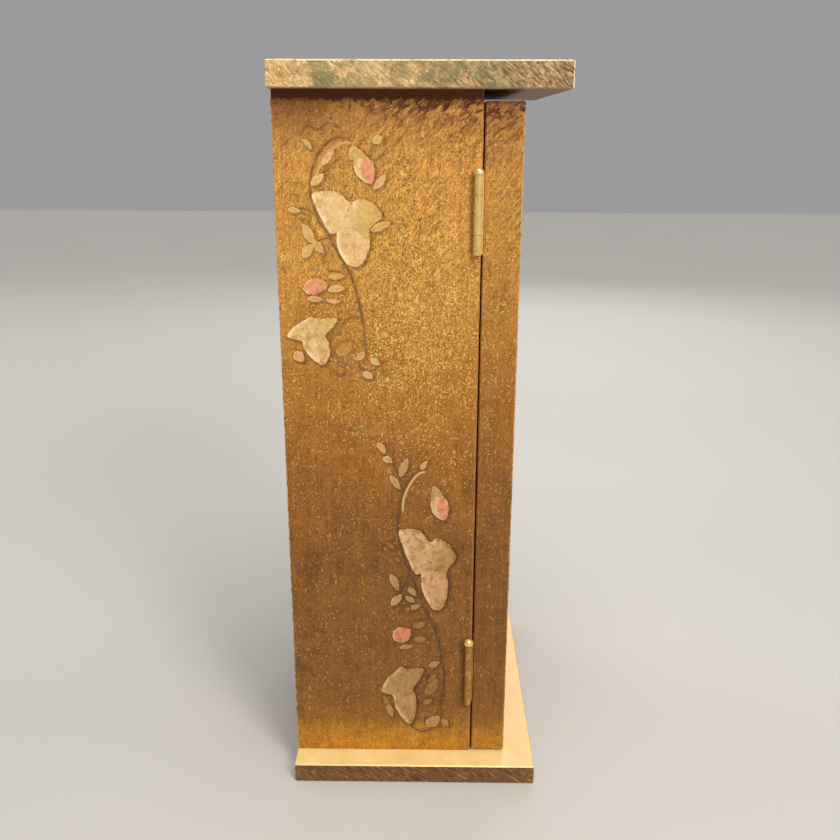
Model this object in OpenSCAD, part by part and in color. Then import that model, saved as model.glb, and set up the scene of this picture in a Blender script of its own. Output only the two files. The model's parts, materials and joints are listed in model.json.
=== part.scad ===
// Jewellery chest: a tall narrow carcase of painted boards, with a column of drawers
// behind one framed door. Millimetres. +Z is up, the door faces -Y, and its hinges are on -X.
// The origin is the middle of the face that the chest stands on.

/* [Overall] */
// Height from the table to the top of the top board
total_h = 305; // [285:1:330]
// Width of the body, outside the side panels
body_w = 114; // [108:1:125]
// Depth of the body, from its back to the door's front
body_d = 94.5; // [90:0.5:105]

/* [Top and base boards] */
// Width of the top board
top_w = 131; // [128:1:145]
// Depth of the top board
top_d = 110.7; // [108:0.1:125]
// Thickness of the top board
top_t = 9.8; // [8:0.1:12]
// Width of the base board
base_w = 136.6; // [132:0.1:150]
// Depth of the base board
base_d = 107.7; // [106:0.1:120]
// Thickness of the base board
base_t = 9.0; // [8:0.1:12]
// Width of the worn bevel along the boards' edges
ease = 0.5; // [0.2:0.1:0.9]

/* [Carcase] */
// Thickness of a side panel
side_t = 9.5; // [9:0.1:11]
// Thickness of the back panel
back_t = 4; // [3:0.5:5]
// Thickness of a shelf between two drawers
shelf_t = 3; // [2.5:0.5:4]
// Depth of the slot in a side panel that holds a shelf
dado = 2.5; // [2:0.5:3]
// Setback of the shelves and drawer fronts behind the carcase's front edge
setback = 1.0; // [1:0.1:2]

/* [Door] */
// Thickness of the door's frame
door_t = 14.8; // [14:0.1:18]
// Gap between the closed door and the carcase
door_gap = 0.6; // [0.6:0.1:1.2]
// Gap between the door and the top board
door_top_gap = 3.9; // [1:0.1:5]
// Gap between the door and the base board
door_bottom_gap = 0.6; // [0.4:0.1:2]
// Width of the door's stiles and rails
frame_w = 12; // [11:0.5:14]
// Thickness of the door's panel
panel_t = 4; // [3:0.5:4]
// Setback of the door's panel behind its frame
panel_recess = 1.0; // [0.5:0.1:1.5]
// Depth of the groove that holds the panel
groove = 3; // [2:0.5:4]
// Thickness of the cloth lining in the door and in the drawers
lining_t = 0.8; // [0.6:0.1:1]

/* [Drawers] */
// Number of drawers
drawer_count = 5; // [4:1:5]
// Gap on each side of a drawer
drawer_side_gap = 0.5; // [0.4:0.1:1]
// Gap under a drawer
drawer_under_gap = 0.3; // [0.2:0.1:0.5]
// Gap over a drawer's front
drawer_over_gap = 0.7; // [0.5:0.1:1.5]
// Thickness of a drawer's front
drawer_front_t = 6; // [6:0.5:8]
// Thickness of a drawer's sides and back
drawer_wall_t = 4; // [3.5:0.5:5]
// Height of a drawer's sides and back
drawer_wall_h = 44; // [34:1:46]
// Thickness of a drawer's bottom
drawer_floor_t = 2.5; // [2:0.5:3]

/* [Hinges] */
// Length of a hinge
hinge_h = 30; // [26:1:34]
// Radius of the hinge's barrel
barrel_r = 1.6; // [1.5:0.1:1.7]
// Radius of the hinge pin
pin_r = 0.75; // [0.7:0.05:0.8]
// Thickness of a hinge leaf
leaf_t = 0.5; // [0.4:0.05:0.55]
// Width of a hinge leaf on the wood
leaf_w = 8; // [7:0.5:8]
// Height of the upper hinge's middle above the table
upper_hinge_z = 250.3; // [240:0.1:256]
// Height of the lower hinge's middle above the table
lower_hinge_z = 50.5; // [30:0.1:60]

/* [Knobs and catch] */
// How far the door's knob stands out
door_knob_h = 10; // [9:0.5:13]
// How far a drawer's knob stands out
drawer_knob_h = 8.8; // [7:0.1:9]
// Height of the magnetic catch above the door knob
catch_rise = 18; // [14:1:22]

/* [Hidden] */
$fn = 48;

// Places along Y, from the back to the front
back_y = max(top_d, base_d) / 2;
door_front_y = back_y - body_d;
door_back_y = door_front_y + door_t;
case_front_y = door_back_y + door_gap;
front_y = case_front_y + setback;
panel_y = door_front_y + panel_recess;
shelf_back_y = back_y - back_t;

// Places along X and Z
half_w = body_w / 2;
inner_w = body_w - 2 * side_t;
board_mid_x = half_w - side_t / 2;
body_top = total_h - top_t;
rebate = side_t / 2;
door_z = [base_t + door_bottom_gap, body_top - door_top_gap];
door_mid_z = (door_z[0] + door_z[1]) / 2;
knob_x = half_w - frame_w / 2;
catch_z = door_mid_z + catch_rise;

// The column of drawers
bay_h = (body_top - base_t - (drawer_count - 1) * shelf_t) / drawer_count;
bay_pitch = bay_h + shelf_t;
drawer_w = inner_w - 2 * drawer_side_gap;
drawer_front_h = bay_h - drawer_under_gap - drawer_over_gap;
drawer_back_gap = 1.0;
drawer_back_y = shelf_back_y - drawer_back_gap;
drawer_inner_w = drawer_w - 2 * drawer_wall_t;
floor_rise = 1.2;
floor_tongue = 2;
lining_drop = 2;

// Hinges
head_r = barrel_r + 0.45;
head_h = 2.5;
hinge_x = -half_w - head_r - 0.05;
hinge_y = case_front_y + barrel_r;
knuckle_gap = 0.2;
end_knuckle = 7.4;
mid_knuckle = [end_knuckle + knuckle_gap, hinge_h - end_knuckle - knuckle_gap];
leaf_screw_rise = 9;
leaf_clear = 0.2;

// Screws, dowels, brads and the magnet: radius, head radius, head height, length
leaf_screw = [0.75, 1.5, leaf_t, 7];
strike_screw = [0.7, 1.4, 0.6, 6];
base_screw = [1.6, 3.2, 2.2, 20];
knob_screw = [1.5, 2.9, 1.8, door_t + 3.6];
brad = [0.5, 1.0, 0.4, 11];
sunk = 0.3;
play = 0.05;
dowel_r = 2.5;
dowel_in_top = 5.5;
dowel_h = 14;
magnet_r = 3;
magnet_h = 4;
strike = [8, 0.4, 17];
strike_screw_rise = 5.8;
spike_r = 1.2;
spike_h = 4.8;

// A knob's radii, and the height of each of its foot's two steps, for 1 mm of projection
knob_ball = 0.36;
knob_neck = 0.17;
knob_foot = 0.40;
knob_flare = 0.33;
knob_step = 0.09;

// Heights of the back panel's brads, as shares of the inside of the carcase
brad_heights = [0.06, 0.31, 0.69, 0.94];

// Colours
gold_paint = [0.71, 0.50, 0.24];
cream_gold = [0.84, 0.74, 0.50];
pale_gold = [0.97, 0.81, 0.54];
bare_wood = [0.72, 0.56, 0.38];
wine_velvet = [0.38, 0.07, 0.10];
brass = [0.90, 0.74, 0.45];
steel = [0.72, 0.72, 0.74];

// ---- Shapes that repeat ----

// A box between two values on each axis
module slab(x, y, z) {
    translate([x[0], y[0], z[0]]) cube([x[1] - x[0], y[1] - y[0], z[1] - z[0]]);
}

// A rectangle between two values on each axis, with its corners cut at 45 degrees
module cut_corners(u, v, cut) {
    polygon([[u[0] + cut, v[0]], [u[1] - cut, v[0]], [u[1], v[0] + cut], [u[1], v[1] - cut],
             [u[1] - cut, v[1]], [u[0] + cut, v[1]], [u[0], v[1] - cut], [u[0], v[0] + cut]]);
}

// The same rectangle, extruded along Z, Y or X
module bevel_along_z(x, y, z, cut) {
    translate([0, 0, z[0]]) linear_extrude(z[1] - z[0]) cut_corners(x, y, cut);
}

module bevel_along_y(x, y, z, cut) {
    translate([0, y[1], 0]) rotate([90, 0, 0]) linear_extrude(y[1] - y[0]) cut_corners(x, z, cut);
}

module bevel_along_x(x, y, z, cut) {
    translate([x[0], 0, 0]) rotate([90, 0, 90]) linear_extrude(x[1] - x[0]) cut_corners(y, z, cut);
}

// A board whose twelve edges are worn to a small bevel
module eased_board(x, y, z, cut = ease) {
    intersection() {
        bevel_along_z(x, y, z, cut);
        bevel_along_y(x, y, z, cut);
        bevel_along_x(x, y, z, cut);
    }
}

// The outline of a countersunk screw or its hole: the head's face is at z = 0, the shank below
module screw_shape(s, grow = 0) {
    tip = s[0] * 1.5;
    translate([0, 0, -s[2]]) cylinder(h = s[2], r1 = s[0] + grow, r2 = s[1] + grow);
    translate([0, 0, tip - s[3] - grow]) cylinder(h = s[3] - tip + grow - s[2] / 2, r = s[0] + grow);
    translate([0, 0, -s[3] - grow]) cylinder(h = tip, r1 = s[0] * 0.25, r2 = s[0] + grow);
}

// A countersunk screw with a slotted head
module screw(s) {
    slot_w = s[1] * 0.28;
    slot_h = s[2] * 0.5;
    difference() {
        screw_shape(s);
        translate([-s[1], -slot_w / 2, -slot_h]) cube([2 * s[1], slot_w, slot_h + 1]);
    }
}

// Its hole, open for a little above the head's face
module screw_hole(s) {
    screw_shape(s, play);
    cylinder(h = 1, r = s[1] + play);
}

// Turn a piece that points up Z so that it faces the back or the front
module facing_back(x, y, z) { translate([x, y, z]) rotate([-90, 0, 0]) children(); }
module facing_front(x, y, z) { translate([x, y, z]) rotate([90, 0, 0]) children(); }

// A turned ball knob on a flared foot, standing up from z = 0
module ball_knob(projection) {
    ball_r = projection * knob_ball;
    neck_r = projection * knob_neck;
    foot_h = projection * knob_step;
    ball_z = projection - ball_r;
    neck_top = ball_z - sqrt(ball_r * ball_r - neck_r * neck_r) + ball_r / 3;
    translate([0, 0, ball_z]) sphere(r = ball_r);
    cylinder(h = neck_top, r = neck_r);
    cylinder(h = foot_h, r = projection * knob_foot);
    translate([0, 0, foot_h])
        cylinder(h = foot_h, r1 = projection * knob_flare, r2 = neck_r);
}

// ---- Where the fixings are ----

module at_side_panels(ys, z) {
    for (x = [-board_mid_x, board_mid_x], y = ys) translate([x, y, z]) children();
}

dowel_ys = [case_front_y + 15, back_y - 17];
base_screw_ys = [case_front_y + 18, back_y - 20];
brad_zs = [for (share = brad_heights) base_t + share * (body_top - base_t)];

module at_brads() {
    for (side = [-1, 1], z = brad_zs)
        facing_back(side * (half_w - rebate - rebate / 2), back_y, z) children();
}

module at_leaf_screws(y) {
    for (mid = [upper_hinge_z, lower_hinge_z], rise = [-leaf_screw_rise, leaf_screw_rise])
        translate([-half_w + leaf_w * 0.56, y, mid + rise]) children();
}

// ---- Carcase ----

module base_board() color(pale_gold) difference() {
    eased_board([-base_w / 2, base_w / 2], [back_y - base_d, back_y], [0, base_t]);
    at_side_panels(base_screw_ys, sunk) rotate([180, 0, 0]) screw_hole(base_screw);
}

module top_board() color(cream_gold) difference() {
    eased_board([-top_w / 2, top_w / 2], [back_y - top_d, back_y], [body_top, total_h]);
    at_side_panels(dowel_ys, body_top - 1) cylinder(h = dowel_in_top + 1 + sunk, r = dowel_r + play);
}

// The shelves' slots stop behind the panel's front edge; the back panel sits in a rebate.
module side_panel(side) {
    x = side < 0 ? [-half_w, -half_w + side_t] : [half_w - side_t, half_w];
    difference() {
        bevel_along_z(x, [case_front_y, back_y], [base_t, body_top], ease);
        slab([-half_w + rebate, half_w - rebate], [shelf_back_y, back_y + 1], [base_t - 1, body_top + 1]);
        shelf_boards();
        at_side_panels(dowel_ys, body_top - dowel_h + dowel_in_top - sunk)
            cylinder(h = dowel_h, r = dowel_r + play);
        at_side_panels(base_screw_ys, sunk) rotate([180, 0, 0]) screw_hole(base_screw);
        at_brads() screw_hole(brad);
        hinge_mortises();
        at_leaf_screws(case_front_y) rotate([90, 0, 0]) screw_hole(leaf_screw);
        facing_back(board_mid_x, case_front_y - 1, catch_z)
            cylinder(h = magnet_h + 1 + sunk, r = magnet_r + play);
    }
}

module left_side_panel() color(gold_paint) side_panel(-1);
module right_side_panel() color(gold_paint) side_panel(1);

module back_panel() color(bare_wood) difference() {
    slab([-half_w + rebate, half_w - rebate], [shelf_back_y, back_y], [base_t, body_top]);
    at_brads() screw_hole(brad);
}

module shelf_boards() {
    for (i = [1 : drawer_count - 1])
        slab([-inner_w / 2 - dado, inner_w / 2 + dado], [front_y, shelf_back_y],
             [base_t + i * bay_pitch - shelf_t, base_t + i * bay_pitch]);
}

module shelves() color(bare_wood) shelf_boards();

module base_screws() color(steel)
    at_side_panels(base_screw_ys, sunk) rotate([180, 0, 0]) screw(base_screw);

module top_dowels() color(bare_wood)
    at_side_panels(dowel_ys, body_top + dowel_in_top - dowel_h) cylinder(h = dowel_h, r = dowel_r);

module back_brads() color(steel) at_brads() screw_shape(brad);

module catch_magnet() color(steel)
    facing_back(board_mid_x, case_front_y, catch_z) cylinder(h = magnet_h, r = magnet_r);

// ---- Hinges ----

module hinge_mortises() {
    for (mid = [upper_hinge_z, lower_hinge_z])
        slab([-half_w - 1, -half_w + leaf_w], [case_front_y - 1, case_front_y + leaf_t],
             [mid - hinge_h / 2, mid + hinge_h / 2]);
}

module knuckle(z) {
    translate([hinge_x, hinge_y, z[0]]) cylinder(h = z[1] - z[0], r = barrel_r);
}

module pin_bore() {
    translate([hinge_x, hinge_y, -1]) cylinder(h = hinge_h + 2, r = pin_r + play);
}

// Let into the side panel's front edge; its plate runs on to the two end knuckles.
module case_leaf(mid) color(brass) difference() {
    translate([0, 0, mid - hinge_h / 2]) difference() {
        union() {
            slab([hinge_x, -half_w + leaf_w], [case_front_y, case_front_y + leaf_t], [0, hinge_h]);
            knuckle([0, end_knuckle]);
            knuckle([hinge_h - end_knuckle, hinge_h]);
        }
        slab([hinge_x - barrel_r - 1, -half_w], [case_front_y - 1, hinge_y + barrel_r + 1],
             [end_knuckle, hinge_h - end_knuckle]);
        pin_bore();
    }
    at_leaf_screws(case_front_y) rotate([90, 0, 0]) screw_hole(leaf_screw);
}

// Fixed on the back of the door, in the gap, and cranked back to the middle knuckle
module door_leaf(mid) color(brass) difference() {
    translate([0, 0, mid - hinge_h / 2]) difference() {
        union() {
            slab([-half_w - leaf_clear, -half_w + leaf_w], [door_back_y, door_back_y + leaf_t],
                 [0, hinge_h]);
            slab([hinge_x + barrel_r / 2, -half_w - leaf_clear],
                 [door_back_y, hinge_y - barrel_r / 2], mid_knuckle);
            knuckle(mid_knuckle);
        }
        pin_bore();
    }
    at_leaf_screws(door_back_y + leaf_t) rotate([-90, 0, 0]) screw_hole(leaf_screw);
}

module upper_hinge_case_leaf() case_leaf(upper_hinge_z);
module lower_hinge_case_leaf() case_leaf(lower_hinge_z);
module upper_hinge_door_leaf() door_leaf(upper_hinge_z);
module lower_hinge_door_leaf() door_leaf(lower_hinge_z);

// Each pin has a domed head on top of the barrel.
module hinge_pins() color(brass)
    for (mid = [upper_hinge_z, lower_hinge_z]) translate([hinge_x, hinge_y, mid - hinge_h / 2]) {
        cylinder(h = hinge_h + 0.5, r = pin_r);
        translate([0, 0, hinge_h]) rotate_extrude() intersection() {
            translate([0, head_h - head_r]) circle(r = head_r);
            square([head_r, head_h]);
        }
        translate([0, 0, hinge_h]) cylinder(h = head_h - head_r, r = head_r);
    }

module hinge_case_screws() color(brass)
    at_leaf_screws(case_front_y) rotate([90, 0, 0]) screw(leaf_screw);

module hinge_door_screws() color(brass)
    at_leaf_screws(door_back_y + leaf_t) rotate([-90, 0, 0]) screw(leaf_screw);

// ---- Door ----

// The panel fills its groove; the rails' stub tenons share it.
module door_panel() color(gold_paint)
    slab([-half_w + frame_w - groove, half_w - frame_w + groove], [panel_y, panel_y + panel_t],
         [door_z[0] + frame_w - groove, door_z[1] - frame_w + groove]);

module stile(side) color(gold_paint) difference() {
    x = side < 0 ? [-half_w, -half_w + frame_w] : [half_w - frame_w, half_w];
    eased_board(x, [door_front_y, door_back_y], door_z);
    slab([-half_w + frame_w - groove, half_w - frame_w + groove], [panel_y, panel_y + panel_t],
         [door_z[0] + groove, door_z[1] - groove]);
    at_leaf_screws(door_back_y + leaf_t) rotate([-90, 0, 0]) screw_hole(leaf_screw);
    facing_back(knob_x, door_back_y - sunk, door_mid_z) screw_hole(knob_screw);
    at_strike_screws() screw_hole(strike_screw);
}

module door_left_stile() stile(-1);
module door_right_stile() stile(1);

module rail(z, tenon_z) color(gold_paint) difference() {
    union() {
        bevel_along_x([-half_w + frame_w, half_w - frame_w], [door_front_y, door_back_y], z, ease);
        slab([-half_w + frame_w - groove, half_w - frame_w + groove], [panel_y, panel_y + panel_t], tenon_z);
    }
    door_panel();
}

module door_top_rail()
    rail([door_z[1] - frame_w, door_z[1]], [door_z[1] - frame_w + groove, door_z[1] - groove]);

module door_bottom_rail()
    rail([door_z[0], door_z[0] + frame_w], [door_z[0] + groove, door_z[0] + frame_w - groove]);

module door_lining() color(wine_velvet)
    slab([-half_w + frame_w, half_w - frame_w], [panel_y + panel_t, panel_y + panel_t + lining_t],
         [door_z[0] + frame_w, door_z[1] - frame_w]);

module door_knob() color(brass) difference() {
    facing_front(knob_x, door_front_y, door_mid_z) ball_knob(door_knob_h);
    facing_back(knob_x, door_back_y - sunk, door_mid_z) screw_hole(knob_screw);
}

module door_knob_screw() color(steel)
    facing_back(knob_x, door_back_y - sunk, door_mid_z) screw(knob_screw);

module at_strike_screws() {
    for (rise = [-strike_screw_rise, strike_screw_rise])
        facing_back(board_mid_x, door_back_y + strike[1], catch_z + rise) children();
}

module strike_plate() color(steel) difference() {
    bevel_along_y([board_mid_x - strike[0] / 2, board_mid_x + strike[0] / 2],
                  [door_back_y, door_back_y + strike[1]],
                  [catch_z - strike[2] / 2, catch_z + strike[2] / 2], 1);
    at_strike_screws() screw_hole(strike_screw);
}

module strike_screws() color(steel) at_strike_screws() screw(strike_screw);

// ---- Drawers, numbered from the bottom ----

function drawer_z(i) = base_t + (i - 1) * bay_pitch + drawer_under_gap;
drawer_wall_y = [front_y + drawer_front_t, drawer_back_y];

// The bottom's edges sit in grooves in the front, sides and back.
module drawer_floor(i) {
    slab([-drawer_inner_w / 2 - floor_tongue, drawer_inner_w / 2 + floor_tongue],
         [drawer_wall_y[0] - floor_tongue, drawer_wall_y[1] - drawer_wall_t + floor_tongue],
         [drawer_z(i) + floor_rise, drawer_z(i) + floor_rise + drawer_floor_t]);
}

module drawer_front(i) color(gold_paint) difference() {
    eased_board([-drawer_w / 2, drawer_w / 2], [front_y, front_y + drawer_front_t],
                [drawer_z(i), drawer_z(i) + drawer_front_h]);
    drawer_floor(i);
    facing_front(0, front_y, drawer_z(i) + drawer_front_h / 2)
        translate([0, 0, -spike_h - play]) cylinder(h = spike_h + 1, r = spike_r + play);
}

module drawer_sides(i) color(bare_wood) difference() {
    for (x = [[-drawer_w / 2, -drawer_inner_w / 2], [drawer_inner_w / 2, drawer_w / 2]])
        slab(x, drawer_wall_y, [drawer_z(i), drawer_z(i) + drawer_wall_h]);
    drawer_floor(i);
}

module drawer_back(i) color(bare_wood) difference() {
    slab([-drawer_inner_w / 2, drawer_inner_w / 2], [drawer_wall_y[1] - drawer_wall_t, drawer_wall_y[1]],
         [drawer_z(i), drawer_z(i) + drawer_wall_h]);
    drawer_floor(i);
}

module drawer_bottom(i) color(bare_wood) drawer_floor(i);

// A cloth tray over the floor and up the inside of the walls
module drawer_lining(i) color(wine_velvet) {
    y = [drawer_wall_y[0], drawer_wall_y[1] - drawer_wall_t];
    z = [drawer_z(i) + floor_rise + drawer_floor_t, drawer_z(i) + drawer_wall_h - lining_drop];
    half = drawer_inner_w / 2;
    difference() {
        slab([-half, half], y, z);
        slab([-half + lining_t, half - lining_t], [y[0] + lining_t, y[1] - lining_t],
             [z[0] + lining_t, z[1] + 1]);
    }
}

// The spike behind the foot screws into the front.
module drawer_knob(i) color(brass) facing_front(0, front_y, drawer_z(i) + drawer_front_h / 2) {
    ball_knob(drawer_knob_h);
    translate([0, 0, -spike_h]) cylinder(h = spike_h + 0.5, r = spike_r);
}

// ---- Drawing ----

base_board();
top_board();
left_side_panel();
right_side_panel();
back_panel();
shelves();
base_screws();
top_dowels();
back_brads();
catch_magnet();
upper_hinge_case_leaf();
lower_hinge_case_leaf();
hinge_pins();
hinge_case_screws();
door_left_stile();
door_right_stile();
door_top_rail();
door_bottom_rail();
door_panel();
door_lining();
door_knob();
door_knob_screw();
strike_plate();
strike_screws();
upper_hinge_door_leaf();
lower_hinge_door_leaf();
hinge_door_screws();
for (i = [1 : drawer_count]) {
    drawer_front(i);
    drawer_sides(i);
    drawer_back(i);
    drawer_bottom(i);
    drawer_lining(i);
    drawer_knob(i);
}
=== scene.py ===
import json
import math

import bmesh
import bpy
import numpy as np
from mathutils import Matrix, Vector


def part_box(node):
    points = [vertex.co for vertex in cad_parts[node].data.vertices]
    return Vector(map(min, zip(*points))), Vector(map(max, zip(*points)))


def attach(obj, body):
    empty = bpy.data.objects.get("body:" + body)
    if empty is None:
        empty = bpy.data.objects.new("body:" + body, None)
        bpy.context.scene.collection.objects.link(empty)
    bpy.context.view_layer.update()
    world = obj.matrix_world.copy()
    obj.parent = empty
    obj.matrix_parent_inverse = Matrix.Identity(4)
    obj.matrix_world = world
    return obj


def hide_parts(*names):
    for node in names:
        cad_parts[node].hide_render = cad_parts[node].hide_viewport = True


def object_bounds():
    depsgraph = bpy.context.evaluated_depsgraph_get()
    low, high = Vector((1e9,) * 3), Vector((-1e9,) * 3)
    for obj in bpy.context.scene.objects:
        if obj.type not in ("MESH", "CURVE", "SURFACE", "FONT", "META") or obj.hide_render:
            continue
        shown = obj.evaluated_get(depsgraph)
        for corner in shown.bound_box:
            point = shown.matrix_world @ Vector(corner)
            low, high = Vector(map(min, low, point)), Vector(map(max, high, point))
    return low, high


# The looks of a painted jewellery chest. Blender works in metres; the decoration's shapes are
# given in millimetres, and MM turns one into the other.
MM = 0.001

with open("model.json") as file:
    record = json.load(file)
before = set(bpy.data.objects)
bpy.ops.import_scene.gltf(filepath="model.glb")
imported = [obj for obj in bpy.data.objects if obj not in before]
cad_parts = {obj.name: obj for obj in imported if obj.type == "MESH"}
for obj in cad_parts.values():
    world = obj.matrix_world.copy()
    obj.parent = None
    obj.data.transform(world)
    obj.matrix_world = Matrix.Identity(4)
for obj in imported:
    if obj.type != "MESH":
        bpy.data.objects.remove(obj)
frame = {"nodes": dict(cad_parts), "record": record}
cad_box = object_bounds()
nodes = frame["nodes"]
drawer_count = sum(name.endswith("_front") for name in nodes)

# Heights and depths that the paint follows, in millimetres.
CHEST_H = cad_box[1].z / MM
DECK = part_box("base_board")[1].z / MM
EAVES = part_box("top_board")[0].z / MM
SEAM = (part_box("left_side_panel")[0].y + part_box("door_left_stile")[1].y) / 2 / MM
DOOR_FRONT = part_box("door_left_stile")[0].y / MM


# ---- Camera, floor and light ----

CAMERA_AT = (-0.4141, -0.0044, 0.2806)
CAMERA_YAW = math.radians(0.635)
CAMERA_PITCH = math.radians(17.486)
CAMERA_ROLL = math.radians(0.192)
LENS_MM, SENSOR_MM = 39.29, 36.0


def make_camera():
    """A camera that looks along +X at the chest's left side, from a little above."""
    forward = Vector((math.cos(CAMERA_YAW) * math.cos(CAMERA_PITCH),
                      math.sin(CAMERA_YAW) * math.cos(CAMERA_PITCH), -math.sin(CAMERA_PITCH)))
    level = Vector((math.sin(CAMERA_YAW), -math.cos(CAMERA_YAW), 0))
    upright = level.cross(forward)
    right = level * math.cos(CAMERA_ROLL) + upright * math.sin(CAMERA_ROLL)
    up = upright * math.cos(CAMERA_ROLL) - level * math.sin(CAMERA_ROLL)
    data = bpy.data.cameras.new("camera")
    data.lens, data.sensor_width = LENS_MM, SENSOR_MM
    camera = bpy.data.objects.new("camera", data)
    turn = Matrix((right, up, -forward)).transposed().to_4x4()
    camera.matrix_world = Matrix.Translation(CAMERA_AT) @ turn
    bpy.context.scene.collection.objects.link(camera)
    bpy.context.scene.camera = camera


def add_light(name, kind, power, colour, aim):
    """A light at the origin that shines along aim. Gives its object."""
    data = bpy.data.lights.new(name, kind)
    data.energy, data.color = power, colour
    light = bpy.data.objects.new(name, data)
    light.rotation_mode = "QUATERNION"
    light.rotation_quaternion = Vector(aim).to_track_quat("-Z", "Y")
    bpy.context.scene.collection.objects.link(light)
    return light


def add_softbox(name, place, target, size, power, colour):
    light = add_light(name, "AREA", power, colour, Vector(target) - Vector(place))
    light.location = place
    light.data.shape, light.data.size = "DISK", size


def make_studio():
    """A warm key light over the hinges' side, weak fills all round and a soft overhead light."""
    middle, upper = (0, 0, 0.15), (0, 0, 0.24)
    warm, neutral = (1.0, 0.95, 0.87), (1.0, 0.98, 0.95)
    add_softbox("key", (-0.72, -0.42, 0.72), upper, 0.35, 6.5, warm)
    add_softbox("front_fill", (0.15, -1.1, 0.7), middle, 0.9, 2.0, neutral)
    add_softbox("back_fill", (0.5, 1.1, 0.8), middle, 0.9, 3.5, neutral)
    add_softbox("right_fill", (1.1, -0.2, 0.7), middle, 0.9, 4.0, neutral)
    ceiling = add_light("ceiling", "SUN", 1.75, warm, (0.28, 0.08, -1))
    ceiling.data.angle = math.radians(40)
    world = bpy.data.worlds.new("studio")
    world.use_nodes = True
    world.node_tree.nodes["Background"].inputs["Color"].default_value = (0.97, 0.97, 1.0, 1)
    world.node_tree.nodes["Background"].inputs["Strength"].default_value = 0.34
    bpy.context.scene.world = world
    bpy.context.scene.view_settings.view_transform = "Standard"


# ---- Node trees ----

def srgb(red, green, blue):
    """A colour given as on a screen, from 0 to 255, as the linear one that shaders take."""
    def linear(c):
        c /= 255
        return c / 12.92 if c <= 0.04045 else ((c + 0.055) / 1.055) ** 2.4
    return (linear(red), linear(green), linear(blue), 1.0)


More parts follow.
